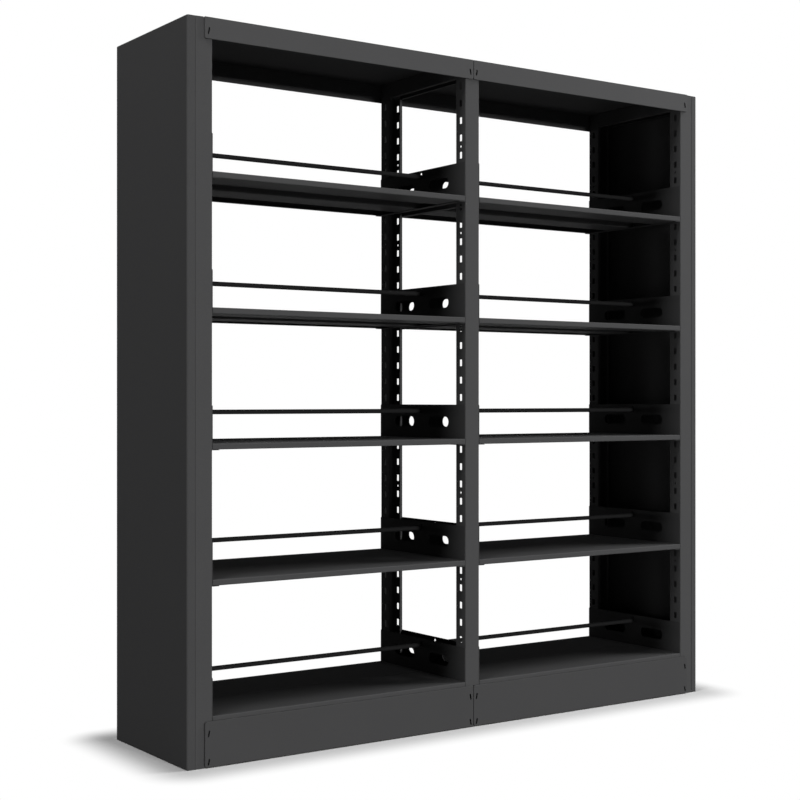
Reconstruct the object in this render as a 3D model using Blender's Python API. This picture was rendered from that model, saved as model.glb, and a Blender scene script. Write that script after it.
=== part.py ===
"""Two-bay boltless steel shelving rack, open at the front and the back, for a school or library.

Slotted C posts are tied in pairs into three uprights. Brackets hook into the slots, carry folded
shelves on their ledges and hold one stop rod at mid-depth above every shelf. Folded end panels,
canopies and kick plates dress the frame.

Metres. +X runs along the rack, -Y is the front, +Z is up. The origin is the middle of the floor plan.
"""

import math

import bmesh
import bpy
from mathutils import Vector

# Layout of the rack
RACK_HEIGHT = 2.000            # floor to canopy top
FRAME_DEPTH = 0.452            # front post face to rear post face
BAY_PITCH = 0.900              # upright centre to upright centre
BAYS = ("left", "right")
UPRIGHTS = ("left", "middle", "right")
FACES = {"front": -1, "rear": 1}
SHELF_LEVELS = 5
SLOTS_PER_LEVEL = 7            # slot pitches from one shelf to the next
FIT_GAP = 0.0003               # between pieces that touch

# Posts and ties, rolled from one lipped C section
POST_WIDTH = 0.051
POST_DEPTH = 0.0488
POST_LIP = 0.010
POST_SHEET = 0.0015
POST_BEND = 0.003              # outer bend radius
TIE_HEIGHT = 0.0485

# Slots for the bracket hooks, in the post flanges
SLOT_PITCH = 0.0520
SLOT_FIRST = 0.0518            # floor to the first slot's centre
SLOT_HEIGHT = 0.020
SLOT_WIDTH = 0.0115
SLOT_INSET = 0.0240            # post face to slot centre
SLOT_END_MARGIN = 0.012        # plain flange between the last slot and the tie
PIN_HOLE_FIRST = 3             # slots below the first small round hole
PIN_HOLE_EVERY = 5             # slots from one round hole to the next
PIN_HOLE_DIAMETER = 0.007
PIN_HOLE_SIDES = 6

# End panels
PANEL_DEPTH = 0.0235           # how far the panel stands out from the posts
PANEL_SHEET = 0.0012
PANEL_CORNER = 0.008
PANEL_FLOOR_GAP = 0.001
PANEL_TOP_SET = 0.0001         # top flange below the pan's rim

# Canopies
CANOPY_SHEET = 0.0012
CANOPY_DROP = 0.058            # height of the fascias
PLATE_PROUD = 0.0065           # fascias and kick plates stand this far out from the posts
PLATE_JOINT = 0.0015           # gap between the plates of two bays

# Kick plates
KICK_SHEET = 0.0012
KICK_HEIGHT = 0.1215
KICK_FLOOR_GAP = 0.0025
KICK_CORNER = 0.006

# Clip slits near the ends of fascias and kick plates
SLIT_LENGTH = 0.018
SLIT_WIDTH = 0.005
SLIT_TILT = math.radians(12)
SLIT_INSET = 0.011             # plate end to slit centre
FASCIA_SLIT_RISE = 0.021       # fascia's lower edge to slit centre
KICK_SLIT_RISES = (0.014, 0.089)  # kick plate's lower edge to slit centres

# Shelves, each made of two folded half-depth pans
SHELF_SHEET = 0.0012
SHELF_LIP = 0.0165
SHELF_EDGE = 0.003             # bend radius of the front and rear edges
SHELF_RETURN = 0.115           # depth of the boxed edge under each pan
SHELF_RETURN_PLAY = 0.0012     # between a return's upturned edge and the deck
SHELF_REAR_RETURN = 0.015
SHELF_FACE_INSET = 0.0005      # shelf edge behind the post face
SHELF_SEAM = 0.0006            # depth of the groove between the two pans

# Brackets
BRACKET_SHEET = 0.0015
BRACKET_RISE = 0.102           # deck to bracket top
BRACKET_FACE_INSET = 0.001     # bracket edge behind the post face
BRACKET_LEDGE = 0.020          # ledge under the shelf
GRIP_LENGTH = 0.1025           # long oval holes
GRIP_HEIGHT = 0.0315
GRIP_OFFSET = 0.0905           # mid-depth to hole centre
GRIP_RISE = 0.0495             # deck to hole centre

# Hooks on the brackets
HOOK_SLOTS = (2, 3)            # slots that the lowest bracket uses, counted from the floor
HOOK_RISE = 0.0199             # deck to the centre of the lower hook's slot
HOOK_WIDTH = 0.0085
HOOK_NECK = 0.008              # height of the neck in the slot
HOOK_TONGUE = 0.009            # how far the tongue hangs behind the flange
HOOK_PLAY = 0.0004             # between flange and tongue

# Stop rods
ROD_DIAMETER = 0.0135
ROD_PIN_DIAMETER = 0.008
ROD_PIN_REACH = 0.005          # pin end past the bracket
ROD_RISE = 0.0822              # deck to rod centre
ROD_LIFT = 0.009               # free travel in the bracket's oval hole
ROD_END_PLAY = 0.0005
ROD_SIDES = 12

# Facets of bends and round ends
BEND_STEPS = 2
ROUND_END_STEPS = 5
CREASE_ANGLE = math.radians(40)   # turned edges sharper than this stay crisp
WELD_DISTANCE = 0.00001           # points closer than this are one

# Charcoal powder coat of each group of pieces: linear colour and roughness
COATS = {
    "upright_coat": ((0.066, 0.066, 0.067), 0.50),
    "panel_coat": ((0.060, 0.060, 0.061), 0.52),
    "canopy_coat": ((0.070, 0.070, 0.071), 0.50),
    "kick_coat": ((0.064, 0.064, 0.065), 0.50),
    "shelf_coat": ((0.068, 0.068, 0.069), 0.48),
    "bracket_coat": ((0.058, 0.058, 0.059), 0.52),
    "rod_coat": ((0.062, 0.062, 0.063), 0.40),
}

# Sizes that follow from the ones above
HALF_DEPTH = FRAME_DEPTH / 2
HALF_POST = POST_WIDTH / 2
POST_TOP = RACK_HEIGHT - max(CANOPY_SHEET, PANEL_SHEET) - FIT_GAP
LEVEL_PITCH = SLOTS_PER_LEVEL * SLOT_PITCH
FIRST_DECK = SLOT_FIRST + HOOK_SLOTS[0] * SLOT_PITCH - HOOK_RISE
CLEAR_WIDTH = BAY_PITCH - POST_WIDTH
BRACKET_FACE = FIT_GAP + BRACKET_SHEET    # post flange to the bracket's bay side
SHELF_WIDTH = CLEAR_WIDTH - 2 * (BRACKET_FACE + FIT_GAP)
SHELF_DEPTH = FRAME_DEPTH - 2 * SHELF_FACE_INSET


def clear_scene():
    """Start from an empty file."""
    for old in list(bpy.data.objects):
        bpy.data.objects.remove(old, do_unlink=True)


def powder_coat(name):
    """Satin charcoal powder coat on steel."""
    colour, roughness = COATS[name]
    material = bpy.data.materials.new(name)
    material.use_nodes = True
    shader = material.node_tree.nodes["Principled BSDF"]
    shader.inputs["Base Color"].default_value = (*colour, 1.0)
    shader.inputs["Roughness"].default_value = roughness
    shader.inputs["Metallic"].default_value = 0.0
    material.diffuse_color = (*colour, 1.0)
    return material


def finish_mesh(bm, name):
    """Turn the faces outwards and store the shape as a mesh."""
    bmesh.ops.recalc_face_normals(bm, faces=bm.faces)
    mesh = bpy.data.meshes.new(name)
    bm.to_mesh(mesh)
    bm.free()
    return mesh


def add_object(name, mesh, material, parent, location=(0, 0, 0), turn=0.0):
    """Put one named sub-part into the scene."""
    piece = bpy.data.objects.new(name, mesh)
    if material and not mesh.materials:
        mesh.materials.append(material)
    piece.location = location
    piece.rotation_euler.z = turn
    piece.parent = parent
    bpy.context.collection.objects.link(piece)
    return piece


def add_empty(name, parent, location):
    """Carry a group of sub-parts that belong together."""
    empty = bpy.data.objects.new(name, None)
    empty.location = location
    empty.parent = parent
    bpy.context.collection.objects.link(empty)
    return empty


def add_tool(name, bm, parent=None, location=(0, 0, 0)):
    """Keep a Boolean tool in the scene, hidden from the finished part."""
    tool = add_object(name, finish_mesh(bm, name), None, parent, location)
    tool.hide_render = True
    tool.display_type = "WIRE"
    return tool


def boolean(piece, tool, operation):
    """Cut a piece with a tool, or join the tool to it."""
    modifier = piece.modifiers.new(tool.name, "BOOLEAN")
    modifier.operation = operation
    modifier.solver = "EXACT"
    modifier.object = tool


def baked_mesh(piece):
    """Take a piece's mesh with its modifiers applied, for sharing between copies."""
    bpy.context.view_layer.update()
    evaluated = piece.evaluated_get(bpy.context.evaluated_depsgraph_get())
    mesh = bpy.data.meshes.new_from_object(evaluated)
    mesh.name = piece.name
    return mesh


def point_on(axis, first, second, along):
    """Map a section's two coordinates and its length to X, Y and Z."""
    if axis == "x":
        return Vector((along, first, second))
    if axis == "y":
        return Vector((first, along, second))
    return Vector((first, second, along))


def add_prism(bm, outline, axis, low, high):
    """Extrude a closed outline along an axis."""
    ring = [bm.verts.new(point_on(axis, first, second, low)) for first, second in outline]
    face = bm.faces.new(ring)
    grown = bmesh.ops.extrude_face_region(bm, geom=[face])["geom"]
    moved = [part for part in grown if isinstance(part, bmesh.types.BMVert)]
    bmesh.ops.translate(bm, verts=moved, vec=point_on(axis, 0, 0, high - low))


def add_box(bm, low, high):
    """A box between two corners."""
    outline = [(low[0], low[1]), (high[0], low[1]), (high[0], high[1]), (low[0], high[1])]
    add_prism(bm, outline, "z", low[2], high[2])


def arc(centre, radius, start, end, steps):
    """Points along an arc, ends included."""
    angles = [start + (end - start) * step / steps for step in range(steps + 1)]
    return [(centre[0] + radius * math.cos(a), centre[1] + radius * math.sin(a)) for a in angles]


def bent_path(corners, radius):
    """Round the inner corners of an open path, as a bending machine does."""
    points = [corners[0]]
    for before, corner, after in zip(corners, corners[1:], corners[2:]):
        here = Vector(corner)
        into = (here - Vector(before)).normalized()
        away = (Vector(after) - here).normalized()
        turn = into.angle_signed(away)
        reach = radius * math.tan(abs(turn) / 2)
        for step in range(BEND_STEPS + 1):
            share = step / BEND_STEPS
            start = here - into * reach * (1 - share)
            end = here + away * reach * share
            points.append(tuple(start.lerp(end, share)))
    points.append(corners[-1])
    return points


def sheet_outline(path, sheet):
    """Give an open path a sheet's thickness on its right-hand side, as a closed outline."""
    points = [Vector(point) for point in path]
    headings = [(after - before).normalized() for before, after in zip(points, points[1:])]
    inner = []
    for index, point in enumerate(points):
        before = headings[max(index - 1, 0)]
        after = headings[min(index, len(headings) - 1)]
        middle = (before + after).normalized()
        side = Vector((middle.y, -middle.x))
        inner.append(tuple(point + side * sheet / middle.dot(before)))
    return [tuple(point) for point in points] + inner[::-1]


def oval(centre, length, height):
    """A hole outline with round ends, lying along the first axis, or standing if taller than long."""
    radius = min(length, height) / 2
    reach = abs(length - height) / 2
    lying = length > height
    shift = (reach, 0) if lying else (0, reach)
    start = -math.pi / 2 if lying else 0.0
    far = (centre[0] + shift[0], centre[1] + shift[1])
    near = (centre[0] - shift[0], centre[1] - shift[1])
    return (arc(far, radius, start, start + math.pi, ROUND_END_STEPS)
            + arc(near, radius, start + math.pi, start + 2 * math.pi, ROUND_END_STEPS))


def slit(centre, lean):
    """A slanted clip slit, leaning by one tilt to the left or right."""
    tilt = lean * SLIT_TILT
    along = Vector((math.sin(tilt), math.cos(tilt))) * SLIT_LENGTH / 2
    across = Vector((math.cos(tilt), -math.sin(tilt))) * SLIT_WIDTH / 2
    middle = Vector(centre)
    corners = [along - across, along + across, across - along, -across - along]
    return [tuple(middle + corner) for corner in corners]


def slit_rows(length, rises):
    """Slits at both ends of a plate, their tops leaning away from the nearer end."""
    reach = length / 2 - SLIT_INSET
    return [slit((side * reach, rise), -side) for side in (-1, 1) for rise in rises]


def lipped_channel(width, depth):
    """Section of the rolled C profile: web at zero, lips at its full depth."""
    half = width / 2
    corners = [(half - POST_LIP, depth), (half, depth), (half, 0), (-half, 0),
               (-half, depth), (-half + POST_LIP, depth)]
    return sheet_outline(bent_path(corners, POST_BEND), POST_SHEET)


def upright_x(index):
    """Centre of an upright along the rack."""
    return (index - len(BAYS) / 2) * BAY_PITCH


def slot_heights():
    """Slot centres from the floor up to the top tie."""
    top = POST_TOP - TIE_HEIGHT - SLOT_END_MARGIN - SLOT_HEIGHT / 2
    count = int((top - SLOT_FIRST) / SLOT_PITCH) + 1
    return [SLOT_FIRST + index * SLOT_PITCH for index in range(count)]


def slot_tool(parent):
    """Slots and round holes through every flange that faces a bay, in both post rows."""
    bm = bmesh.new()
    reach = upright_x(len(BAYS))
    heights = slot_heights()
    for side in FACES.values():
        row = side * (HALF_DEPTH - SLOT_INSET)
        for height in heights:
            add_box(bm, (-reach, row - SLOT_WIDTH / 2, height - SLOT_HEIGHT / 2),
                    (reach, row + SLOT_WIDTH / 2, height + SLOT_HEIGHT / 2))
        for height in heights[PIN_HOLE_FIRST::PIN_HOLE_EVERY]:
            centre = (row, height - SLOT_PITCH / 2)
            hole = arc(centre, PIN_HOLE_DIAMETER / 2, 0, 2 * math.pi, PIN_HOLE_SIDES)[:-1]
            add_prism(bm, hole, "x", -reach, reach)
    return add_tool("slot_tool", bm, parent)


def build_uprights(rack):
    """Two slotted posts and two ties for each upright."""
    coat = powder_coat("upright_coat")
    slots = slot_tool(rack)
    tie_reach = HALF_DEPTH - POST_DEPTH - FIT_GAP
    tie_section = lipped_channel(POST_WIDTH, TIE_HEIGHT)
    for index, upright in enumerate(UPRIGHTS):
        centre = upright_x(index)
        for face, side in FACES.items():
            bm = bmesh.new()
            add_prism(bm, lipped_channel(POST_WIDTH, POST_DEPTH), "z", 0, POST_TOP)
            name = f"post_{upright}_{face}"
            turn = math.pi if side > 0 else 0.0
            place = (centre, side * HALF_DEPTH, 0)
            post = add_object(name, finish_mesh(bm, name), coat, rack, place, turn)
            boolean(post, slots, "DIFFERENCE")
        for level, base, up in (("top", POST_TOP, -1), ("bottom", 0, 1)):
            bm = bmesh.new()
            section = [(across, up * height) for across, height in tie_section]
            add_prism(bm, section, "y", -tie_reach, tie_reach)
            name = f"tie_{upright}_{level}"
            add_object(name, finish_mesh(bm, name), coat, rack, (centre, 0, base))


def build_end_panels(rack):
    """Folded pans over the outer sides, with a top flange that hangs on the post tops."""
    coat = powder_coat("panel_coat")
    skin = HALF_POST + PANEL_DEPTH
    mouth = HALF_POST + FIT_GAP
    inset = PANEL_SHEET / 2
    flange = PLATE_JOINT / 2
    walls = [(mouth, HALF_DEPTH), (skin, HALF_DEPTH), (skin, -HALF_DEPTH), (mouth, -HALF_DEPTH)]
    cover = [(flange, HALF_DEPTH - inset), (skin - inset, HALF_DEPTH - inset),
             (skin - inset, inset - HALF_DEPTH), (flange, inset - HALF_DEPTH)]
    for end, upright in ((-1, 0), (1, len(BAYS))):
        name = f"end_panel_{UPRIGHTS[upright]}"
        place = (upright_x(upright), 0, 0)
        pan = bmesh.new()
        add_prism(pan, sheet_outline(bent_path(walls, PANEL_CORNER), PANEL_SHEET), "z",
                  PANEL_FLOOR_GAP, RACK_HEIGHT)
        top = bmesh.new()
        add_prism(top, bent_path(cover, PANEL_CORNER - inset), "z",
                  RACK_HEIGHT - PANEL_SHEET, RACK_HEIGHT - PANEL_TOP_SET)
        for shape in (pan, top):
            bmesh.ops.scale(shape, verts=shape.verts, vec=(end, 1, 1))
        panel = add_object(name, finish_mesh(pan, name), coat, rack, place)
        boolean(panel, add_tool(f"{name}_top", top, rack, place), "UNION")


def build_canopies(rack):
    """One folded canopy for each bay: a top sheet with a fascia in front and behind."""
    coat = powder_coat("canopy_coat")
    length = BAY_PITCH - PLATE_JOINT
    face = HALF_DEPTH + PLATE_PROUD
    hem = RACK_HEIGHT - CANOPY_DROP
    half_sheet = CANOPY_SHEET / 2
    folds = [(-face, hem), (-face, RACK_HEIGHT), (face, RACK_HEIGHT), (face, hem)]
    section = sheet_outline(folds, CANOPY_SHEET)
    return_end = length / 2 - half_sheet
    for bay, name in enumerate(BAYS):
        centre = (upright_x(bay) + upright_x(bay + 1)) / 2
        bm = bmesh.new()
        add_prism(bm, section, "x", -length / 2, length / 2)
        canopy = add_object(f"canopy_{name}", finish_mesh(bm, "canopy"), coat, rack, (centre, 0, 0))
        returns = bmesh.new()
        slits = bmesh.new()
        for side in FACES.values():
            depths = sorted((side * (HALF_DEPTH + FIT_GAP), side * (face - half_sheet)))
            for end in (-1, 1):
                spans = sorted((end * return_end, end * (return_end - CANOPY_SHEET)))
                add_box(returns, (spans[0], depths[0], hem + half_sheet),
                        (spans[1], depths[1], RACK_HEIGHT - half_sheet))
            cut = sorted((side * (face - 2 * CANOPY_SHEET), side * (face + CANOPY_SHEET)))
            for outline in slit_rows(length, [hem + FASCIA_SLIT_RISE]):
                add_prism(slits, outline, "y", cut[0], cut[1])
        boolean(canopy, add_tool(f"canopy_{name}_returns", returns, rack, (centre, 0, 0)), "UNION")
        boolean(canopy, add_tool(f"canopy_{name}_slits", slits, rack, (centre, 0, 0)), "DIFFERENCE")


def build_kick_plates(rack):
    """Shallow pans between the floor and the lowest shelf, in front and behind."""
    coat = powder_coat("kick_coat")
    length = BAY_PITCH - PLATE_JOINT
    depth = PLATE_PROUD - FIT_GAP
    for bay, name in enumerate(BAYS):
        centre = (upright_x(bay) + upright_x(bay + 1)) / 2
        for face, side in FACES.items():
            bm = bmesh.new()
            add_box(bm, (-length / 2, 0, 0), (length / 2, depth, KICK_HEIGHT))
            bmesh.ops.recalc_face_normals(bm, faces=bm.faces)
            back = [wall for wall in bm.faces if wall.normal.y > 0.9]
            bmesh.ops.delete(bm, geom=back, context="FACES_ONLY")
            corners = [edge for edge in bm.edges
                       if abs(edge.verts[0].co.y - edge.verts[1].co.y) > depth / 2]
            bmesh.ops.bevel(bm, geom=corners, offset=KICK_CORNER, offset_type="OFFSET", affect="EDGES",
                            segments=BEND_STEPS, profile=0.5, material=-1)
            turn = math.pi if side > 0 else 0.0
            place = (centre, side * (HALF_DEPTH + PLATE_PROUD), KICK_FLOOR_GAP)
            mesh = finish_mesh(bm, "kick_plate")
            plate = add_object(f"kick_plate_{name}_{face}", mesh, coat, rack, place, turn)
            wall = plate.modifiers.new("sheet", "SOLIDIFY")
            wall.thickness = KICK_SHEET
            wall.offset = -1
            wall.use_even_offset = True
            slits = bmesh.new()
            for outline in slit_rows(length, KICK_SLIT_RISES):
                add_prism(slits, outline, "y", -KICK_SHEET, 2 * KICK_SHEET)
            tool = add_tool(f"kick_plate_{name}_{face}_slits", slits, plate)
            boolean(plate, tool, "DIFFERENCE")


def shelf_mesh():
    """Two half-depth pans side by side: boxed front edges, a rear lip and a seam between them."""
    sheet = SHELF_SHEET
    front = -SHELF_DEPTH / 2
    rear = SHELF_DEPTH / 2
    edge = SHELF_EDGE
    upturn = -sheet - SHELF_RETURN_PLAY
    top = (arc((front + edge, -edge), edge, math.pi, math.pi / 2, BEND_STEPS)
           + [(-SHELF_SEAM, 0), (0, -SHELF_SEAM), (SHELF_SEAM, 0)]
           + arc((rear - edge, -edge), edge, math.pi / 2, 0, BEND_STEPS))
    rear_lip = [(rear, -SHELF_LIP), (rear - SHELF_REAR_RETURN, -SHELF_LIP),
                (rear - SHELF_REAR_RETURN, sheet - SHELF_LIP), (rear - sheet, sheet - SHELF_LIP),
                (rear - sheet, -edge), (rear - edge, -sheet)]
    boxes = []
    for start in (0, front):
        end = start + SHELF_RETURN
        boxes += [(start + edge, -sheet), (start + sheet, -edge), (start + sheet, sheet - SHELF_LIP),
                  (end - sheet, sheet - SHELF_LIP), (end - sheet, upturn), (end, upturn),
                  (end, -SHELF_LIP), (start, -SHELF_LIP)]
        if start == 0:
            boxes.append((start, -sheet))
    bm = bmesh.new()
    add_prism(bm, top + rear_lip + boxes, "x", -SHELF_WIDTH / 2, SHELF_WIDTH / 2)
    return finish_mesh(bm, "shelf")


def bracket_mesh(rack, hand):
    """A bracket whose hooks point to -X for hand 1 and to +X for hand -1; the deck is at zero height."""
    reach = HALF_DEPTH - BRACKET_FACE_INSET
    ledge_top = -SHELF_LIP - FIT_GAP
    ledge_base = ledge_top - BRACKET_SHEET
    ledge_end = BRACKET_FACE + BRACKET_LEDGE
    plate = [(FIT_GAP, BRACKET_RISE), (FIT_GAP, ledge_base), (ledge_end, ledge_base),
             (ledge_end, ledge_top), (BRACKET_FACE, ledge_top), (BRACKET_FACE, BRACKET_RISE)]
    root = FIT_GAP + BRACKET_SHEET / 2
    behind = -POST_SHEET - HOOK_PLAY
    tip = behind - BRACKET_SHEET
    hooks = bmesh.new()
    for slot in range(len(HOOK_SLOTS)):
        base = HOOK_RISE + (HOOK_SLOTS[slot] - HOOK_SLOTS[0]) * SLOT_PITCH - SLOT_HEIGHT / 2 + FIT_GAP
        top = base + HOOK_NECK
        outline = [(root, top), (tip, top), (tip, base - HOOK_TONGUE), (behind, base - HOOK_TONGUE),
                   (behind, base), (root, base)]
        for side in FACES.values():
            row = side * (HALF_DEPTH - SLOT_INSET)
            add_prism(hooks, outline, "y", row - HOOK_WIDTH / 2, row + HOOK_WIDTH / 2)
    holes = bmesh.new()
    pin_hole = ROD_PIN_DIAMETER + 2 * FIT_GAP
    rod_hole = oval((0, ROD_RISE + ROD_LIFT / 2), pin_hole, pin_hole + ROD_LIFT + FIT_GAP)
    grips = [oval((side * GRIP_OFFSET, GRIP_RISE), GRIP_LENGTH, GRIP_HEIGHT) for side in FACES.values()]
    for outline in [rod_hole] + grips:
        add_prism(holes, outline, "x", -BRACKET_SHEET, BRACKET_FACE + BRACKET_SHEET)
    body = bmesh.new()
    add_prism(body, plate, "y", -reach, reach)
    for shape in (body, hooks, holes):
        bmesh.ops.scale(shape, verts=shape.verts, vec=(hand, 1, 1))
    bracket = add_object("bracket_blank", finish_mesh(body, "bracket_blank"), None, rack)
    hook_tool = add_tool("bracket_hooks", hooks, rack)
    hole_tool = add_tool("bracket_holes", holes, rack)
    boolean(bracket, hook_tool, "UNION")
    boolean(bracket, hole_tool, "DIFFERENCE")
    mesh = baked_mesh(bracket)
    for used in (bracket, hook_tool, hole_tool):
        bpy.data.objects.remove(used, do_unlink=True)
    return mesh


def rod_mesh():
    """A round bar with a thinner pin turned on each end."""
    shoulder = CLEAR_WIDTH / 2 - BRACKET_FACE - ROD_END_PLAY
    tip = CLEAR_WIDTH / 2 - FIT_GAP + ROD_PIN_REACH
    bar = ROD_DIAMETER / 2
    pin = ROD_PIN_DIAMETER / 2
    profile = [(-tip, 0), (-tip, pin), (-shoulder, pin), (-shoulder, bar),
               (shoulder, bar), (shoulder, pin), (tip, pin), (tip, 0)]
    bm = bmesh.new()
    verts = [bm.verts.new((along, 0, radius)) for along, radius in profile]
    edges = [bm.edges.new(pair) for pair in zip(verts, verts[1:])]
    bmesh.ops.spin(bm, geom=verts + edges, axis=(1, 0, 0), cent=(0, 0, 0), angle=2 * math.pi,
                   steps=ROD_SIDES, use_merge=True)
    bmesh.ops.remove_doubles(bm, verts=bm.verts, dist=WELD_DISTANCE)
    mesh = finish_mesh(bm, "stop_rod")
    mesh.shade_smooth()
    mesh.set_sharp_from_angle(angle=CREASE_ANGLE)
    return mesh


def build_shelf_units(rack):
    """On every level of a bay: two hooked brackets, the shelf on their ledges and a stop rod."""
    shelf_coat = powder_coat("shelf_coat")
    bracket_coat = powder_coat("bracket_coat")
    rod_coat = powder_coat("rod_coat")
    shelf = shelf_mesh()
    rod = rod_mesh()
    brackets = {hand: bracket_mesh(rack, hand) for hand in (1, -1)}
    for bay, name in enumerate(BAYS):
        centre = (upright_x(bay) + upright_x(bay + 1)) / 2
        sides = ("outer", "inner") if bay == 0 else ("inner", "outer")
        for level in range(SHELF_LEVELS):
            label = f"{name}_{level + 1}"
            unit = add_empty(f"shelf_unit_{label}", rack, (centre, 0, FIRST_DECK + level * LEVEL_PITCH))
            add_object(f"shelf_{label}", shelf, shelf_coat, unit)
            for side, (hand, bracket) in zip(sides, brackets.items()):
                place = (-hand * CLEAR_WIDTH / 2, 0, 0)
                add_object(f"bracket_{label}_{side}", bracket, bracket_coat, unit, place)
            add_object(f"stop_rod_{label}", rod, rod_coat, unit, (0, 0, ROD_RISE))


clear_scene()
shelving_rack = add_empty("shelving_rack", None, (0, 0, 0))
build_uprights(shelving_rack)
build_end_panels(shelving_rack)
build_canopies(shelving_rack)
build_kick_plates(shelving_rack)
build_shelf_units(shelving_rack)
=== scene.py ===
"""Looks of a two-bay steel shelving rack: folded, punched and powder-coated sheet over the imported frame."""

import math

import bmesh
import bpy
from mathutils import Matrix, Vector


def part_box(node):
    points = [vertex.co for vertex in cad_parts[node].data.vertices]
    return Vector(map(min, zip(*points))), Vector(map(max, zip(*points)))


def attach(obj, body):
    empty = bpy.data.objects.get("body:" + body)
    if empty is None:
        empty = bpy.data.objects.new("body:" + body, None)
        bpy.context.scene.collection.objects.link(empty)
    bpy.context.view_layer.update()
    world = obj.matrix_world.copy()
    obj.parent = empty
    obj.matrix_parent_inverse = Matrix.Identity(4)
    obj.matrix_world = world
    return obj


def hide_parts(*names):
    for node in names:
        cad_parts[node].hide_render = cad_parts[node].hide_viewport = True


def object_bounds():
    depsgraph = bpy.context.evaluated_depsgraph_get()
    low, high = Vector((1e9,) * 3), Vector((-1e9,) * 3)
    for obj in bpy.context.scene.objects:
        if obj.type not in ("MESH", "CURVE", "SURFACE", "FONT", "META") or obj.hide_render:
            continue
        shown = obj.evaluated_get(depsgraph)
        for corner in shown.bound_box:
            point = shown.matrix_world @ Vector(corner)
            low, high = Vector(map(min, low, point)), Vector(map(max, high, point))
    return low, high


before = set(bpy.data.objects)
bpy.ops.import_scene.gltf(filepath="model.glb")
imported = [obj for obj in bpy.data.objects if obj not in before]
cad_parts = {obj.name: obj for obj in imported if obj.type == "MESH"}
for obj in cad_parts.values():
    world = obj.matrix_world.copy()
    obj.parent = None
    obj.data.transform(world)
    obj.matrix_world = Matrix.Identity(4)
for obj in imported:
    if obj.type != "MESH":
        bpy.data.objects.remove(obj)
cad_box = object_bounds()


# Studio: a level camera left of the rack's middle. One lamp stands far off in front, two hang over the
# rack's ends, and two more stand far off at its left side and at its back. The pale floor runs out
# into a white backdrop.
EYE = (-2.7455, -3.7965, 0.9801)
HEADING = math.radians(34.792)
FOCAL_LENGTH = 67.44
SENSOR = 36.0
FLOOR_REACH = 40.0
FLOOR_GREY = 0.92
FLOOR_BOUNCE = 0.35
FLOOR_FADE = (0.01, 0.16)
AMBIENT = 0.01
WHITE = (1, 1, 1, 1)
WHITE_STRENGTH = 1.0
LAMPS = {
    "front": dict(spot=(2.5, -36.0, 1.9), aim=(0, 0, 1), size=3.0, watts=8500),
    "right": dict(spot=(3.4, -1.4, 3.7), aim=(0.3, 0, 1.4), size=1.6, watts=120),
    "left": dict(spot=(-3.0, -1.0, 5.5), aim=(-0.9, 0, 1), size=2.0, watts=110),
    "side": dict(spot=(-24.0, -2.0, 1.2), aim=(-0.9, 0, 1), size=4.0, watts=900),
    "back": dict(spot=(0.0, 24.0, 0.6), aim=(0, 0, 1), size=3.0, watts=4000),
}

studio = bpy.context.scene
studio.view_settings.view_transform = "Standard"

lens = bpy.data.cameras.new("photo_camera")
lens.lens = FOCAL_LENGTH
lens.sensor_width = SENSOR
camera = bpy.data.objects.new("photo_camera", lens)
camera.location = EYE
camera.rotation_euler = (math.pi / 2, 0, -HEADING)
studio.collection.objects.link(camera)
studio.camera = camera

for lamp_name, lamp in LAMPS.items():
    light = bpy.data.lights.new(lamp_name, "AREA")
    light.shape = "DISK"
    light.size = lamp["size"]
    light.energy = lamp["watts"]
    holder = bpy.data.objects.new(lamp_name, light)
    holder.location = lamp["spot"]
    aim = Vector(lamp["aim"]) - Vector(lamp["spot"])
    holder.rotation_euler = aim.to_track_quat("-Z", "Y").to_euler()
    studio.collection.objects.link(holder)


def seen_rays(nodes, links):
    """A mask of the rays that show a background: straight from the camera, mirrored or through glass."""
    path = nodes.new("ShaderNodeLightPath")
    mirrored = nodes.new("ShaderNodeMath")
    mirrored.operation = "MAXIMUM"
    links.new(path.outputs["Is Camera Ray"], mirrored.inputs[0])
    links.new(path.outputs["Is Glossy Ray"], mirrored.inputs[1])
    through = nodes.new("ShaderNodeMath")
    through.operation = "MAXIMUM"
    links.new(mirrored.outputs[0], through.inputs[0])
    links.new(path.outputs["Is Transmission Ray"], through.inputs[1])
    return through.outputs[0]


backdrop = bpy.data.worlds.new("white_backdrop")
backdrop.use_nodes = True
studio.world = backdrop
nodes, links = backdrop.node_tree.nodes, backdrop.node_tree.links
nodes.clear()
soft = nodes.new("ShaderNodeBackground")
soft.inputs["Color"].default_value = WHITE
soft.inputs["Strength"].default_value = AMBIENT
white = nodes.new("ShaderNodeBackground")
white.inputs["Color"].default_value = WHITE
white.inputs["Strength"].default_value = WHITE_STRENGTH
choose = nodes.new("ShaderNodeMixShader")
links.new(seen_rays(nodes, links), choose.inputs[0])
links.new(soft.outputs[0], choose.inputs[1])
links.new(white.outputs[0], choose.inputs[2])
links.new(choose.outputs[0], nodes.new("ShaderNodeOutputWorld").inputs["Surface"])

pale = bpy.data.materials.new("pale_floor")
pale.use_nodes = True
nodes, links = pale.node_tree.nodes, pale.node_tree.links
nodes.clear()
seen = seen_rays(nodes, links)
away = nodes.new("ShaderNodeTexCoord").outputs["Object"]
footprint = tuple(cad_box[1])
for step, amount in (("ABSOLUTE", None), ("SUBTRACT", footprint), ("MAXIMUM", (0, 0, 0)), ("LENGTH", None)):
    measure = nodes.new("ShaderNodeVectorMath")
    measure.operation = step
    links.new(away, measure.inputs[0])
    if amount:
        measure.inputs[1].default_value = amount
    away = measure.outputs["Value" if step == "LENGTH" else "Vector"]
fade = nodes.new("ShaderNodeMapRange")
fade.interpolation_type = "SMOOTHSTEP"
fade.inputs["From Min"].default_value, fade.inputs["From Max"].default_value = FLOOR_FADE
links.new(away, fade.inputs["Value"])
far = nodes.new("ShaderNodeMath")
far.operation = "MULTIPLY"
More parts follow.
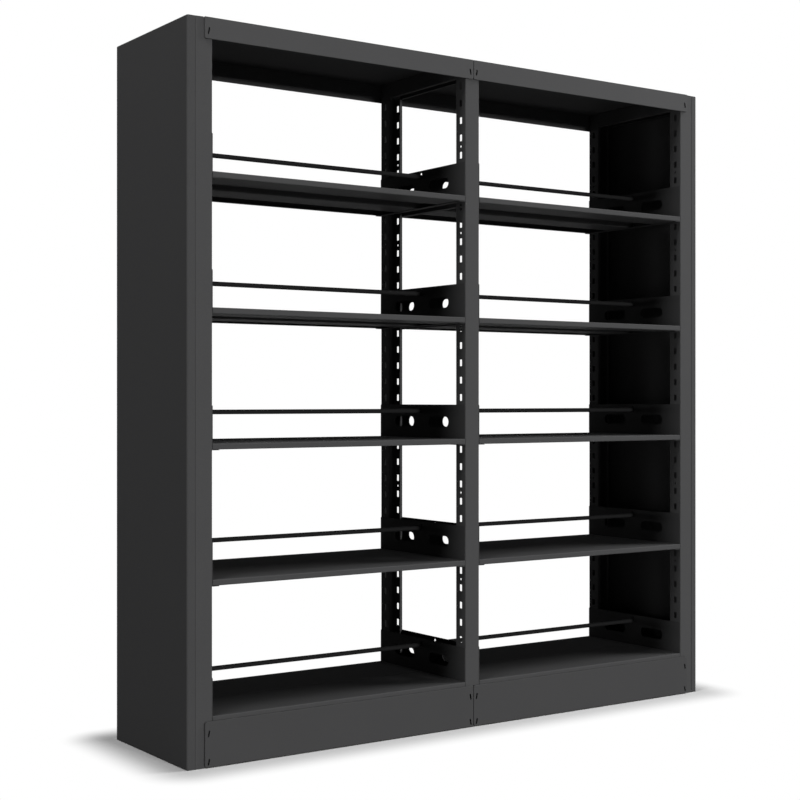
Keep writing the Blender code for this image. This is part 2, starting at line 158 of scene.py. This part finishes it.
links.new(seen, far.inputs[0])
links.new(fade.outputs[0], far.inputs[1])
grey = nodes.new("ShaderNodeMapRange")
grey.inputs["To Min"].default_value, grey.inputs["To Max"].default_value = FLOOR_BOUNCE, FLOOR_GREY
links.new(seen, grey.inputs["Value"])
matte = nodes.new("ShaderNodeBsdfDiffuse")
links.new(grey.outputs[0], matte.inputs["Color"])
glow = nodes.new("ShaderNodeEmission")
glow.inputs["Color"].default_value = WHITE
glow.inputs["Strength"].default_value = WHITE_STRENGTH
choose = nodes.new("ShaderNodeMixShader")
links.new(far.outputs[0], choose.inputs[0])
links.new(matte.outputs[0], choose.inputs[1])
links.new(glow.outputs[0], choose.inputs[2])
links.new(choose.outputs[0], nodes.new("ShaderNodeOutputMaterial").inputs["Surface"])

bm = bmesh.new()
bmesh.ops.create_grid(bm, x_segments=1, y_segments=1, size=FLOOR_REACH)
floor_mesh = bpy.data.meshes.new("floor")
bm.to_mesh(floor_mesh)
bm.free()
floor_mesh.materials.append(pale)
floor = bpy.data.objects.new("floor", floor_mesh)
studio.collection.objects.link(floor)


# Posts: six lipped C sections, roll-formed from 1.5 mm steel strip with the slots punched first.
# Slots for the bracket hooks run up every flange that faces a bay, with a small round pin hole
# between two slots at every fifth one. Charcoal powder coat, baked on in a thin even skin.
POST_LIP = 0.010
POST_SHEET = 0.0015
POST_BEND = 0.0025
BEND_STEPS = 6
ROUND_PROFILE = 0.5
SLOT_PITCH = 0.0520
SLOT_FIRST = 0.0518
SLOT_COUNT = 37
SLOT_HEIGHT = 0.020
SLOT_WIDTH = 0.0115
SLOT_CORNER = 0.002
SLOT_INSET = 0.0240
PIN_HOLE_FIRST = 3
PIN_HOLE_EVERY = 5
PIN_HOLE = 0.007
ROUND_STEPS = 24
CREASE = math.radians(35)
SQUARE = 0.99
UPRIGHT_GREY = 0.070
UPRIGHT_ROUGHNESS = 0.62
COAT_BLUE = 1.015
CLOUD_SCALE = 4.5
CLOUD_GLOSS = 0.16
SPECKLE_SCALE = 520.0
SPECKLE_DEPTH = 0.22
RUB_AND_HIGHLIGHT_SCALE = 35.0
RUB_GLOSS = -0.25
PEEL_SCALE = 900.0
PEEL_DEPTH = 0.0004
UPWARD_MATT = 0.5
NOISE_MIDDLE = 0.5


def powder_grain():
    """Baked powder: fine peel, faint speckle and clouding, bends lightened by rub wear and a painted
    highlight, matter on upward faces.
    """
    group = bpy.data.node_groups.new("powder_grain", "ShaderNodeTree")
    for label, kind in (("Coat", "NodeSocketColor"), ("Roughness", "NodeSocketFloat"),
                        ("Clouding", "NodeSocketFloat"), ("Rub And Highlight", "NodeSocketFloat")):
        group.interface.new_socket(label, in_out="INPUT", socket_type=kind)
    for label, kind in (("Colour", "NodeSocketColor"), ("Roughness", "NodeSocketFloat"),
                        ("Peel", "NodeSocketFloat")):
        group.interface.new_socket(label, in_out="OUTPUT", socket_type=kind)
    nodes, links = group.nodes, group.links
    given = nodes.new("NodeGroupInput")
    result = nodes.new("NodeGroupOutput")
    place = nodes.new("ShaderNodeTexCoord")

    def noise(scale, detail):
        texture = nodes.new("ShaderNodeTexNoise")
        texture.inputs["Scale"].default_value = scale
        texture.inputs["Detail"].default_value = detail
        links.new(place.outputs["Object"], texture.inputs["Vector"])
        return texture.outputs["Fac"]

    def blend(operation, first, second, third=None):
        step = nodes.new("ShaderNodeMath")
        step.operation = operation
        for socket, value in zip(step.inputs, (first, second, third)):
            if isinstance(value, (int, float)):
                socket.default_value = value
            elif value is not None:
                links.new(value, socket)
        return step.outputs[0]

    clouds = blend("SUBTRACT", noise(CLOUD_SCALE, detail=3.0), NOISE_MIDDLE)
    speckle = blend("SUBTRACT", noise(SPECKLE_SCALE, detail=2.0), NOISE_MIDDLE)
    peel = noise(PEEL_SCALE, detail=1.0)
    bends = nodes.new("ShaderNodeAttribute")
    bends.attribute_name = "bend"
    rub_and_highlight_noise = blend("MULTIPLY", given.outputs["Rub And Highlight"], noise(RUB_AND_HIGHLIGHT_SCALE, detail=3.0))
    bends_rubbed_and_highlit = blend("MULTIPLY", bends.outputs["Fac"], rub_and_highlight_noise)
    shade = blend("MULTIPLY_ADD", clouds, given.outputs["Clouding"], 1.0)
    shade = blend("MULTIPLY_ADD", speckle, SPECKLE_DEPTH, shade)
    # The bends are lightened in colour: partly rub wear, partly a painted highlight.
    shade = blend("ADD", shade, bends_rubbed_and_highlit)
    tint = nodes.new("ShaderNodeVectorMath")
    tint.operation = "SCALE"
    links.new(given.outputs["Coat"], tint.inputs[0])
    links.new(shade, tint.inputs["Scale"])
    links.new(tint.outputs["Vector"], result.inputs["Colour"])
    gloss = blend("MULTIPLY_ADD", clouds, CLOUD_GLOSS, given.outputs["Roughness"])
    gloss = blend("MULTIPLY_ADD", bends_rubbed_and_highlit, RUB_GLOSS, gloss)
    upward = nodes.new("ShaderNodeAttribute")
    upward.attribute_name = "upward"
    gloss = blend("MULTIPLY_ADD", upward.outputs["Fac"], UPWARD_MATT, gloss)
    links.new(gloss, result.inputs["Roughness"])
    links.new(peel, result.inputs["Peel"])
    return group


POWDER = powder_grain()


def powder_coat(slot, grey, roughness, specular=0.004, clouding=0.08, rub_and_highlight=0.10, peel=0.12):
    """Satin charcoal coat of one group of pieces, for one material slot of the record."""
    coat = bpy.data.materials.new(f"baked_{slot}")
    coat["slot"] = slot
    coat.use_nodes = True
    nodes, links = coat.node_tree.nodes, coat.node_tree.links
    skin = nodes["Principled BSDF"]
    skin.inputs["Specular IOR Level"].default_value = specular
    grain = nodes.new("ShaderNodeGroup")
    grain.node_tree = POWDER
    grain.inputs["Coat"].default_value = (grey, grey, grey * COAT_BLUE, 1)
    grain.inputs["Roughness"].default_value = roughness
    grain.inputs["Clouding"].default_value = clouding
    # How much the bends are lightened: rub wear plus a painted highlight.
    grain.inputs["Rub And Highlight"].default_value = rub_and_highlight
    bump = nodes.new("ShaderNodeBump")
    bump.inputs["Strength"].default_value = peel
    bump.inputs["Distance"].default_value = PEEL_DEPTH
    links.new(grain.outputs["Colour"], skin.inputs["Base Color"])
    links.new(grain.outputs["Roughness"], skin.inputs["Roughness"])
    links.new(grain.outputs["Peel"], bump.inputs["Height"])
    links.new(bump.outputs["Normal"], skin.inputs["Normal"])
    return coat


def lipped_channel(left, right, mouth, web):
    """Outer face of the C section from lip to lip, as pairs: the place across and the place inwards."""
    return [(right - POST_LIP, mouth), (right, mouth), (right, web),
            (left, web), (left, mouth), (left + POST_LIP, mouth)]


def fold_line(bm, corners, bend):
    """Lay a folded section's outer face as a line of edges, its inner corners rounded to the bend."""
    points = [bm.verts.new(corner) for corner in corners]
    for pair in zip(points, points[1:]):
        bm.edges.new(pair)
    bmesh.ops.bevel(bm, geom=points[1:-1], offset=bend, offset_type="OFFSET", affect="VERTICES",
                    segments=BEND_STEPS, profile=ROUND_PROFILE, material=-1)


def pull(bm, parts, path):
    """Pull edges or faces along a straight path."""
    if isinstance(parts[0], bmesh.types.BMEdge):
        grown = bmesh.ops.extrude_edge_only(bm, edges=parts)["geom"]
    else:
        grown = bmesh.ops.extrude_face_region(bm, geom=parts)["geom"]
    moved = [part for part in grown if isinstance(part, bmesh.types.BMVert)]
    bmesh.ops.translate(bm, verts=moved, vec=path)


def thicken(bm, sheet):
    """Give a folded face its sheet's thickness, towards the inside of the fold."""
    bmesh.ops.recalc_face_normals(bm, faces=bm.faces)
    bmesh.ops.solidify(bm, geom=bm.faces[:], thickness=sheet)


def hole(bm, across, high, corner, turn, middle, path):
    """A punch with rounded corners: an outline in the plane that the turn gives, pulled along a path."""
    half_step = math.pi / ROUND_STEPS
    radius = corner / math.cos(half_step)
    ring = bmesh.ops.create_circle(bm, cap_ends=True, radius=radius, segments=ROUND_STEPS)["verts"]
    bmesh.ops.rotate(bm, cent=(0, 0, 0), matrix=Matrix.Rotation(half_step, 3, "Z"), verts=ring)
    for point in ring:
        point.co.x += math.copysign(across / 2 - corner, point.co.x)
        point.co.y += math.copysign(high / 2 - corner, point.co.y)
    bmesh.ops.rotate(bm, cent=(0, 0, 0), matrix=turn, verts=ring)
    bmesh.ops.translate(bm, verts=ring, vec=middle)
    pull(bm, [ring[0].link_faces[0]], path)


def to_mesh(bm, name):
    """Store a closed shape with its faces turned outwards."""
    bmesh.ops.recalc_face_normals(bm, faces=bm.faces)
    mesh = bpy.data.meshes.new(name)
    bm.to_mesh(mesh)
    bm.free()
    return mesh


def press(blank, tool, way="DIFFERENCE"):
    """Punch holes through a blank, or join formed pieces to it with a union."""
    parts = [bpy.data.objects.new("pressed", mesh) for mesh in (blank, tool)]
    for part in parts:
        studio.collection.objects.link(part)
    stroke = parts[0].modifiers.new("press", "BOOLEAN")
    stroke.operation = way
    stroke.object = parts[1]
    bpy.context.view_layer.update()
    pressed = parts[0].evaluated_get(bpy.context.evaluated_depsgraph_get())
    mesh = bpy.data.meshes.new_from_object(pressed)
    for part in parts:
        bpy.data.objects.remove(part)
    return mesh


def seat(name, mesh, coat, node, body):
    """Coat a finished piece, mark its bends and upward faces, and put it in its node's stead."""
    mesh.shade_smooth()
    mesh.set_sharp_from_angle(angle=CREASE)
    mesh.materials.clear()
    mesh.materials.append(coat)
    bends = mesh.attributes.new("bend", "FLOAT", "FACE")
    upward = mesh.attributes.new("upward", "FLOAT", "FACE")
    for face in mesh.polygons:
        bends.data[face.index].value = float(max(abs(part) for part in face.normal) < SQUARE)
        upward.data[face.index].value = float(face.normal.z > SQUARE)
    piece = bpy.data.objects.new(name, mesh)
    studio.collection.objects.link(piece)
    piece.modifiers.new("even_shading", "WEIGHTED_NORMAL").keep_sharp = True
    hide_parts(node)
    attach(piece, body)


UPRIGHTS = ("left", "middle", "right")
FACES = {"front": -1, "rear": 1}
SIDEWAYS = Matrix.Rotation(math.pi / 2, 3, "Z") @ Matrix.Rotation(math.pi / 2, 3, "X")
upright_coat = powder_coat("upright_coat", UPRIGHT_GREY, UPRIGHT_ROUGHNESS)

for face, side in FACES.items():
    for upright in UPRIGHTS:
        node = f"post_{upright}_{face}"
        low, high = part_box(node)
        outer, inner = (low.y, high.y) if side < 0 else (high.y, low.y)
        bm = bmesh.new()
        section = lipped_channel(low.x, high.x, inner, outer)
        fold_line(bm, [(across, depth, low.z) for across, depth in section], POST_BEND)
        pull(bm, bm.edges[:], (0, 0, high.z - low.z))
        thicken(bm, POST_SHEET)
        strip = to_mesh(bm, node)
        start = (low.x + high.x) / 2 if upright == "left" else low.x - POST_SHEET
        end = (low.x + high.x) / 2 if upright == "right" else high.x + POST_SHEET
        through = (end - start, 0, 0)
        bm = bmesh.new()
        for index in range(SLOT_COUNT):
            middle = Vector((start, outer - side * SLOT_INSET, SLOT_FIRST + index * SLOT_PITCH))
            hole(bm, SLOT_WIDTH, SLOT_HEIGHT, SLOT_CORNER, SIDEWAYS, middle, through)
            if index % PIN_HOLE_EVERY == PIN_HOLE_FIRST:
                middle.z -= SLOT_PITCH / 2
                hole(bm, PIN_HOLE, PIN_HOLE, PIN_HOLE / 2, SIDEWAYS, middle, through)
        slotted = press(strip, to_mesh(bm, "slots"))
        seat(f"slotted_post_{upright}_{face}", slotted, upright_coat, node, "frame")


# Ties: short lengths of the same C section, welded between the lips of each pair of posts, one at
# the top with its open side down and one on the floor with its open side up.
for upright in UPRIGHTS:
    for level, up in (("top", -1), ("bottom", 1)):
        node = f"tie_{upright}_{level}"
        low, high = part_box(node)
        web, rim = (high.z, low.z) if up < 0 else (low.z, high.z)
        bm = bmesh.new()
        section = lipped_channel(low.x, high.x, rim, web)
        fold_line(bm, [(across, low.y, height) for across, height in section], POST_BEND)
        pull(bm, bm.edges[:], (0, high.y - low.y, 0))
        thicken(bm, POST_SHEET)
        seat(f"cross_tie_{upright}_{level}", to_mesh(bm, node), upright_coat, node, "frame")


# End panels: pans of 1.2 mm steel folded round the outer side of each end upright. Their rounded
# front and rear returns close against the posts, and a top flange hangs on the post tops.
PANEL_SHEET = 0.0012
PANEL_CORNER = 0.0065
PANEL_TOP_BEND = 0.0025
PANEL_GREY = 0.066
PANEL_ROUGHNESS = 0.64
FIT_GAP = 0.0003
TOUCH = 1e-6
panel_coat = powder_coat("panel_coat", PANEL_GREY, PANEL_ROUGHNESS)


def round_edges(bm, edges, radius, steps):
    """Round folded edges to a bend radius."""
    bmesh.ops.bevel(bm, geom=edges, offset=radius, offset_type="OFFSET", affect="EDGES", segments=steps,
                    profile=ROUND_PROFILE, material=-1)


for end, out in (("left", -1), ("right", 1)):
    node = f"end_panel_{end}"
    low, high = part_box(node)
    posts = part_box(f"post_{end}_front")
    skin, flange, mouth = ((low.x, high.x, posts[0].x - FIT_GAP) if out < 0 else
                           (high.x, low.x, posts[1].x + FIT_GAP))
    bm = bmesh.new()
    fold_line(bm, [(mouth, low.y, high.z), (skin, low.y, high.z), (skin, high.y, high.z),
                   (mouth, high.y, high.z)], PANEL_CORNER)
    rim = bm.edges[:]
    tips = [bm.verts.new((flange, depth, high.z)) for depth in (low.y, high.y)]
    for tip in tips:
        foot = Vector((mouth, tip.co.y, high.z))
        corner = min(bm.verts, key=lambda point: (point.co - foot).length)
        bm.edges.new((tip, corner))
    bm.edges.new(tips)
    bmesh.ops.edgeloop_fill(bm, edges=bm.edges[:])
    pull(bm, rim, (0, 0, low.z - high.z))
    shoulder = [edge for edge in bm.edges if len(edge.link_faces) == 2 and edge.calc_face_angle() > CREASE
                and abs(edge.verts[0].co.z - edge.verts[1].co.z) < TOUCH]
    round_edges(bm, shoulder, PANEL_TOP_BEND, BEND_STEPS // 2)
    thicken(bm, PANEL_SHEET)
    seat(f"end_pan_{end}", to_mesh(bm, node), panel_coat, node, "frame")


# Canopies: one sheet for each bay, folded down into a fascia in front and behind. The fascia's ends
# and hem turn in towards the posts with drawn corners, and a slanted slit near each end takes the
# clip that holds the canopy on its upright.
CANOPY_SHEET = 0.0012
CANOPY_BEND = 0.0015
CANOPY_CORNER = 0.004
SLIT_LENGTH = 0.018
SLIT_WIDTH = 0.005
SLIT_TILT = math.radians(12)
SLIT_INSET = 0.011
FASCIA_SLIT_RISE = 0.021
SLIT_STROKE = 3
CANOPY_GREY = 0.074
CANOPY_ROUGHNESS = 0.60
CANOPY_SPECULAR = 0.001
BAYS = ("left", "right")
UPENDED = Matrix.Rotation(math.pi / 2, 3, "X")
canopy_coat = powder_coat("canopy_coat", CANOPY_GREY, CANOPY_ROUGHNESS, specular=CANOPY_SPECULAR)


def block(low, high):
    """A block between two corners, as the start of a drawn pan."""
    bm = bmesh.new()
    bmesh.ops.create_cube(bm, size=1)
    bmesh.ops.scale(bm, vec=high - low, verts=bm.verts)
    bmesh.ops.translate(bm, vec=(low + high) / 2, verts=bm.verts)
    return bm


def slits(bm, low, high, side, rise, sheet):
    """Punches for the slanted clip slits near both ends of a plate, between the plate's two corners."""
    start = (low.y if side < 0 else high.y) + side * sheet
    path = (0, -side * SLIT_STROKE * sheet, 0)
    for end, lean in ((low.x + SLIT_INSET, 1), (high.x - SLIT_INSET, -1)):
        turn = Matrix.Rotation(lean * SLIT_TILT, 3, "Y") @ UPENDED
        middle = (end, start, low.z + rise)
        hole(bm, SLIT_WIDTH, SLIT_LENGTH, SLIT_WIDTH / 2, turn, middle, path)


post_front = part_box("post_middle_front")[0].y - FIT_GAP
post_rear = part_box("post_middle_rear")[1].y + FIT_GAP
for bay in BAYS:
    node = f"canopy_{bay}"
    low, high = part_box(node)
    bm = block(low, high)
    for depth in (post_front, post_rear):
        turned = [wall for wall in bm.faces if abs(wall.normal.y) < SQUARE and wall.normal.z < SQUARE]
        turned += list({edge for wall in turned for edge in wall.edges})
        bmesh.ops.bisect_plane(bm, geom=turned, plane_co=(0, depth, 0), plane_no=(0, 1, 0))
    gap = [wall for wall in bm.faces if abs(wall.normal.y) < SQUARE and wall.normal.z < SQUARE
           and post_front < wall.calc_center_median().y < post_rear]
    bmesh.ops.delete(bm, geom=gap, context="FACES_ONLY")
    corners = [edge for edge in bm.edges if len(edge.link_faces) == 2
               and all(abs(wall.normal.y) < SQUARE and wall.normal.z < SQUARE for wall in edge.link_faces)]
    round_edges(bm, corners, CANOPY_CORNER, BEND_STEPS)
    folds = [edge for edge in bm.edges if len(edge.link_faces) == 2 and edge.calc_face_angle() > CREASE]
    round_edges(bm, folds, CANOPY_BEND, BEND_STEPS // 2)
    thicken(bm, CANOPY_SHEET)
    cover = to_mesh(bm, node)
    bm = bmesh.new()
    for side in FACES.values():
        slits(bm, low, high, side, FASCIA_SLIT_RISE, CANOPY_SHEET)
    seat(f"canopy_cover_{bay}", press(cover, to_mesh(bm, "slits")), canopy_coat, node, "frame")


# Kick plates: shallow pans of 1.2 mm steel with drawn corners, on the floor between the uprights,
# held by two clips through the slanted slits at each end.
KICK_SHEET = 0.0012
KICK_CORNER = 0.0065
KICK_BEND = 0.0015
KICK_SLIT_RISES = (0.014, 0.089)
KICK_GREY = 0.064
KICK_ROUGHNESS = 0.62
kick_coat = powder_coat("kick_coat", KICK_GREY, KICK_ROUGHNESS)

for bay in BAYS:
    for face, side in FACES.items():
        node = f"kick_plate_{bay}_{face}"
        low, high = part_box(node)
        bm = block(low, high)
        back = [wall for wall in bm.faces if wall.normal.y * side < -SQUARE]
        bmesh.ops.delete(bm, geom=back, context="FACES_ONLY")
        corners = [edge for edge in bm.edges if abs(edge.verts[0].co.y - edge.verts[1].co.y) > KICK_SHEET]
        round_edges(bm, corners, KICK_CORNER, BEND_STEPS)
        skin = max(bm.faces, key=lambda wall: wall.calc_area())
        round_edges(bm, skin.edges[:], KICK_BEND, BEND_STEPS // 2)
        thicken(bm, KICK_SHEET)
        pan = to_mesh(bm, node)
        bm = bmesh.new()
        for rise in KICK_SLIT_RISES:
            slits(bm, low, high, side, rise, KICK_SHEET)
        seat(f"kick_pan_{bay}_{face}", press(pan, to_mesh(bm, "slits")), kick_coat, node, "frame")


# Brackets: 1.5 mm plates with a ledge folded out under the shelf. Two long oval holes lighten them,
# a standing oval at mid-depth takes the stop rod, and formed hooks hang in the post slots.
BRACKET_SHEET = 0.0015
BRACKET_BEND = 0.0018
BRACKET_CORNER = 0.004
BRACKET_RISE = 0.102
BRACKET_LEDGE = 0.020
BRACKET_INSET = 0.001
BRACKET_STROKE = 4
GRIP_LENGTH = 0.1025
GRIP_HEIGHT = 0.0315
GRIP_OFFSET = 0.0905
GRIP_RISE = 0.0495
ROD_HOLE = 0.0086
ROD_HOLE_HEIGHT = 0.0179
ROD_RISE = 0.0822
ROD_LIFT = 0.009
HOOK_RISE = 0.0199
HOOK_WIDTH = 0.0085
HOOK_NECK = 0.008
HOOK_TONGUE = 0.009
HOOK_PLAY = 0.0004
SHELF_LIP = 0.0165
LEVELS = range(1, 6)
# The brackets' grey is set darker than the other coats as painted shade, for their place inside the bays.
BRACKET_SHADED_GREY = 0.053
BRACKET_ROUGHNESS = 0.64
bracket_coat = powder_coat("bracket_coat", BRACKET_SHADED_GREY, BRACKET_ROUGHNESS)


def bracket_blank(hand):
    """One bracket on a post flange at zero, for a shelf top at zero; its hooks point away from the hand."""
    post_face = -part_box("post_middle_front")[0].y
    reach = post_face - BRACKET_INSET
    plate, ledge = hand * FIT_GAP, hand * (FIT_GAP + BRACKET_SHEET + BRACKET_LEDGE)
    base = -SHELF_LIP - FIT_GAP - BRACKET_SHEET
    bm = bmesh.new()
    section = [(plate, BRACKET_RISE), (plate, base), (ledge, base)]
    fold_line(bm, [(across, -reach, height) for across, height in section], BRACKET_BEND)
    pull(bm, bm.edges[:], (0, 2 * reach, 0))
    bmesh.ops.recalc_face_normals(bm, faces=bm.faces)
    wall = max(bm.faces, key=lambda part: part.calc_area())
    if wall.normal.x * hand > 0:
        bmesh.ops.reverse_faces(bm, faces=bm.faces)
    bmesh.ops.solidify(bm, geom=bm.faces[:], thickness=BRACKET_SHEET)
    corners = [edge for edge in bm.edges
               if min(point.co.z for point in edge.verts) > BRACKET_RISE - BRACKET_SHEET
               and abs(edge.verts[0].co.x - edge.verts[1].co.x) > BRACKET_SHEET / 2]
    round_edges(bm, corners, BRACKET_CORNER, BEND_STEPS)
    blank = to_mesh(bm, "bracket")
    bm = bmesh.new()
    start, path = -hand * BRACKET_SHEET, (hand * BRACKET_STROKE * BRACKET_SHEET, 0, 0)
    for side in FACES.values():
        middle = (start, side * GRIP_OFFSET, GRIP_RISE)
        hole(bm, GRIP_LENGTH, GRIP_HEIGHT, GRIP_HEIGHT / 2, SIDEWAYS, middle, path)
    middle = (start, 0, ROD_RISE + ROD_LIFT / 2)
    hole(bm, ROD_HOLE, ROD_HOLE_HEIGHT, ROD_HOLE / 2, SIDEWAYS, middle, path)
    plate = press(blank, to_mesh(bm, "holes"))
    bm = bmesh.new()
    root = hand * (FIT_GAP + BRACKET_SHEET / 2)
    behind = -hand * (POST_SHEET + HOOK_PLAY)
    tip = behind - hand * BRACKET_SHEET
    for lift in (0, SLOT_PITCH):
        base = HOOK_RISE + lift - SLOT_HEIGHT / 2 + FIT_GAP
        top = base + HOOK_NECK
        for side in FACES.values():
            row = side * (post_face - SLOT_INSET) - HOOK_WIDTH / 2
            outline = [bm.verts.new((x, row, z)) for x, z in
                       ((root, top), (tip, top), (tip, base - HOOK_TONGUE), (behind, base - HOOK_TONGUE),
                        (behind, base), (root, base))]
            pull(bm, [bm.faces.new(outline)], (0, HOOK_WIDTH, 0))
    return press(plate, to_mesh(bm, "hooks"), way="UNION")


clear = {}
for bay, left, right in zip(BAYS, UPRIGHTS, UPRIGHTS[1:]):
    clear[bay] = (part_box(f"post_{left}_front")[1].x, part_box(f"post_{right}_front")[0].x)
blanks = {hand: bracket_blank(hand) for hand in (1, -1)}
for index, bay in enumerate(BAYS):
    for level in LEVELS:
        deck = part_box(f"shelf_{bay}_{level}")[1].z
        unit = f"shelf_unit_{bay}_{level}"
        for end, (hand, flange) in enumerate(zip((1, -1), clear[bay])):
            label = f"{bay}_{level}_{'outer' if end == index else 'inner'}"
            mesh = blanks[hand].copy()
            mesh.transform(Matrix.Translation((flange, 0, deck)))
            seat(f"hooked_bracket_{label}", mesh, bracket_coat, f"bracket_{label}", unit)


# Shelves: two half-depth pans of 1.2 mm steel, laid edge to edge on the bracket ledges. Each pan's
# front edge is folded into a flat box for stiffness, and its rear edge is turned down into a lip.
SHELF_SHEET = 0.0012
SHELF_EDGE = 0.003
SHELF_RETURN = 0.115
SHELF_RETURN_PLAY = 0.0012
SHELF_REAR_RETURN = 0.015
SHELF_SEAM = 0.0002
SHELF_SEAM_LIP = 0.012
SHELF_GREY = 0.068
SHELF_ROUGHNESS = 0.60
shelf_coat = powder_coat("shelf_coat", SHELF_GREY, SHELF_ROUGHNESS)


def shelf_pans(low, high):
    """Front and rear pan of one shelf, between two corners."""
    bm = bmesh.new()
    middle = (low.y + high.y) / 2
    upturn = high.z - SHELF_SHEET - SHELF_RETURN_PLAY
    seam = middle - SHELF_SEAM
    seam_lip = [(seam, high.z), (seam, high.z - SHELF_SEAM_LIP)]
    rear_lip = [(high.y, high.z), (high.y, low.z), (high.y - SHELF_REAR_RETURN, low.z)]
    for front, tail in ((low.y, seam_lip), (middle + SHELF_SEAM, rear_lip)):
        boxed = front + SHELF_RETURN
        section = [(boxed, upturn), (boxed, low.z), (front, low.z), (front, high.z)] + tail
        pan = bmesh.new()
        fold_line(pan, [(low.x, depth, height) for depth, height in section], SHELF_EDGE)
        pull(pan, pan.edges[:], (high.x - low.x, 0, 0))
        bmesh.ops.recalc_face_normals(pan, faces=pan.faces)
        deck = max(pan.faces, key=lambda part: part.calc_area())
        if deck.normal.z < 0:
            bmesh.ops.reverse_faces(pan, faces=pan.faces)
        bmesh.ops.solidify(pan, geom=pan.faces[:], thickness=SHELF_SHEET)
        mesh = to_mesh(pan, "pan")
        bm.from_mesh(mesh)
        bpy.data.meshes.remove(mesh)
    return to_mesh(bm, "shelf")


for bay in BAYS:
    for level in LEVELS:
        node = f"shelf_{bay}_{level}"
        pans = shelf_pans(*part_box(node))
        seat(f"shelf_pans_{bay}_{level}", pans, shelf_coat, node, f"shelf_unit_{bay}_{level}")


# Stop rods: round steel bars across mid-depth, with a thinner pin turned on each end that drops
# into the brackets' standing ovals. They keep the books of one side off the other.
ROD_DIAMETER = 0.0135
ROD_PIN = 0.008
ROD_SHOULDER = 0.0023
ROD_CHAMFER = 0.0008
ROD_STEPS = 32
# The rods' grey is set far darker than the other coats as painted shade, for their place deep under the
# shelves.
ROD_SHADED_GREY = 0.017
ROD_ROUGHNESS = 0.55
ROD_SPECULAR = 0.01
ROD_RUB_AND_HIGHLIGHT = 0.0
rod_coat = powder_coat("rod_coat", ROD_SHADED_GREY, ROD_ROUGHNESS, specular=ROD_SPECULAR, rub_and_highlight=ROD_RUB_AND_HIGHLIGHT)

for bay in BAYS:
    for level in LEVELS:
        node = f"stop_rod_{bay}_{level}"
        low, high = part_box(node)
        height = (low.z + high.z) / 2
        left, right = (flange + hand * ROD_SHOULDER for flange, hand in zip(clear[bay], (1, -1)))
        profile = [(low.x, 0), (low.x, ROD_PIN / 2 - ROD_CHAMFER), (low.x + ROD_CHAMFER, ROD_PIN / 2),
                   (left, ROD_PIN / 2), (left, ROD_DIAMETER / 2 - ROD_CHAMFER),
                   (left + ROD_CHAMFER, ROD_DIAMETER / 2)]
        profile += [(left + right - along, radius) for along, radius in reversed(profile)]
        bm = bmesh.new()
        turned = [bm.verts.new((along, 0, height + radius)) for along, radius in profile]
        edges = [bm.edges.new(pair) for pair in zip(turned, turned[1:])]
        bmesh.ops.spin(bm, geom=turned + edges, axis=(1, 0, 0), cent=(0, 0, height), angle=2 * math.pi,
                       steps=ROD_STEPS, use_merge=True)
        bmesh.ops.remove_doubles(bm, verts=bm.verts, dist=TOUCH)
        seat(f"turned_rod_{bay}_{level}", to_mesh(bm, node), rod_coat, node, f"rod_{bay}_{level}")
